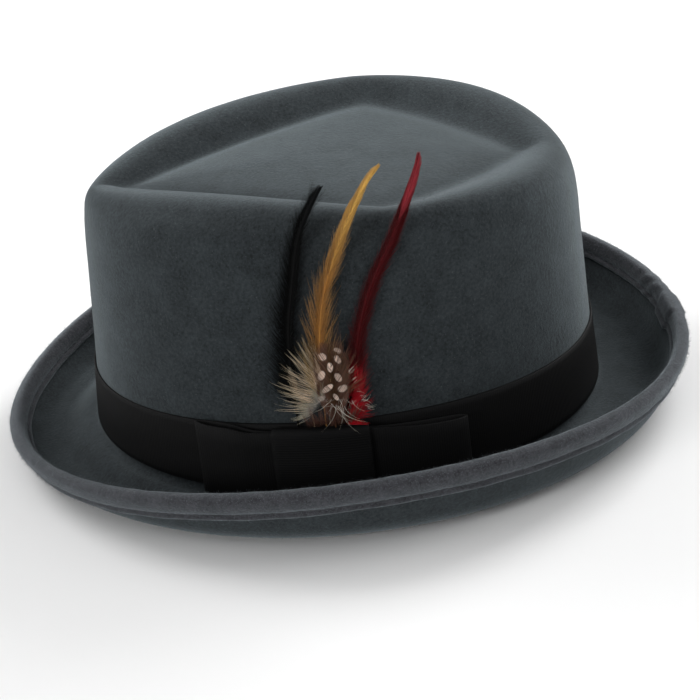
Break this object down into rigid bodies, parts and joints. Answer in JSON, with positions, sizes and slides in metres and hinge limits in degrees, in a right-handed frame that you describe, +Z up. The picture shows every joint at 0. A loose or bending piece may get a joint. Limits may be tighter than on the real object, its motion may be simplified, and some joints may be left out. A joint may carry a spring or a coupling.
{
  "type": "trilby hat",
  "caption": "Felt trilby with a diamond crown, curled bound brim, ribbon band, flat side bow and a bunch of feathers.",
  "frame": {"origin": "middle of the hat on the surface that its brim rests on", "axes": "+Z up, -Y toward the front of the hat, +X toward the wearer's left, where the bow and feathers are"},
  "size_m": [0.2492, 0.2776, 0.1361],
  "materials": {
    "wool_felt": "matt, short soft nap",
    "binding_felt": "matt, soft nap",
    "grosgrain": "matt with fine ribs",
    "black_feather": "soft sheen",
    "gold_feather": "soft sheen",
    "red_feather": "soft sheen",
    "spotted_feather": "matt with pale spots",
    "down_feather": "matt and downy"
  },
  "bodies": {
    "root": {"felt_body": "wool_felt", "edge_binding": "binding_felt", "band": "grosgrain", "bow_loop": "grosgrain", "bow_knot": "grosgrain", "feather_black": "black_feather", "feather_gold": "gold_feather", "feather_red": "red_feather", "feather_spotted": "spotted_feather", "feather_down": "down_feather"}
  },
  "joints": []
}
